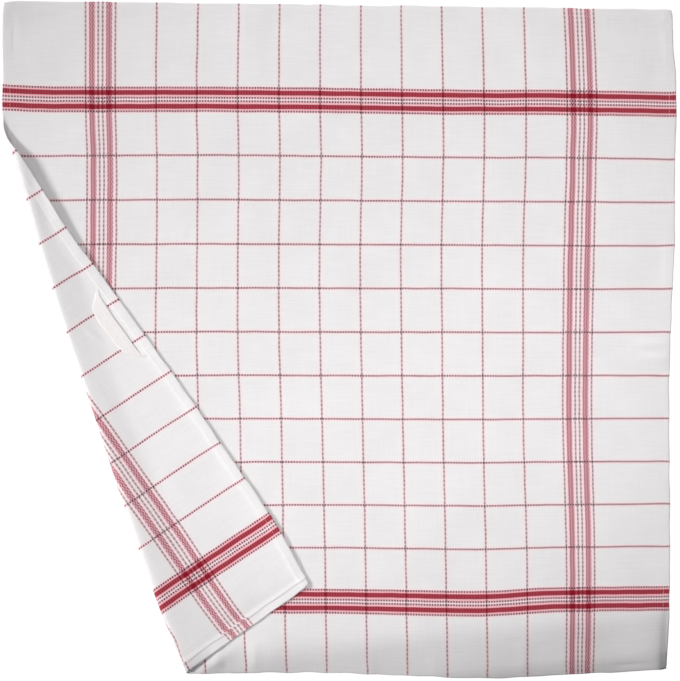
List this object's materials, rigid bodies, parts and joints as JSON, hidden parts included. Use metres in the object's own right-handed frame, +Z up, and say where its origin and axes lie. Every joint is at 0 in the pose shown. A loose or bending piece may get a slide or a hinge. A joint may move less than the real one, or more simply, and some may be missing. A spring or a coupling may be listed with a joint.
{
  "type": "tea towel",
  "caption": "Square hemmed cotton tea towel with red woven stripes, lying flat with one corner folded over and a tape loop to hang it by.",
  "frame": {"origin": "middle of the underside of the towel as it lies, at the height of the surface it lies on", "axes": "+Z up, +Y towards the top hem, +X towards the right hem, away from the folded corner"},
  "size_m": [0.6516, 0.6524, 0.0143],
  "materials": {
    "cotton_cloth": "plain woven white cotton with red woven stripes, matt",
    "cotton_tape": "cream cotton twill tape, matt"
  },
  "bodies": {
    "root": {"towel": "cotton_cloth", "hanging_loop": "cotton_tape"}
  },
  "joints": []
}
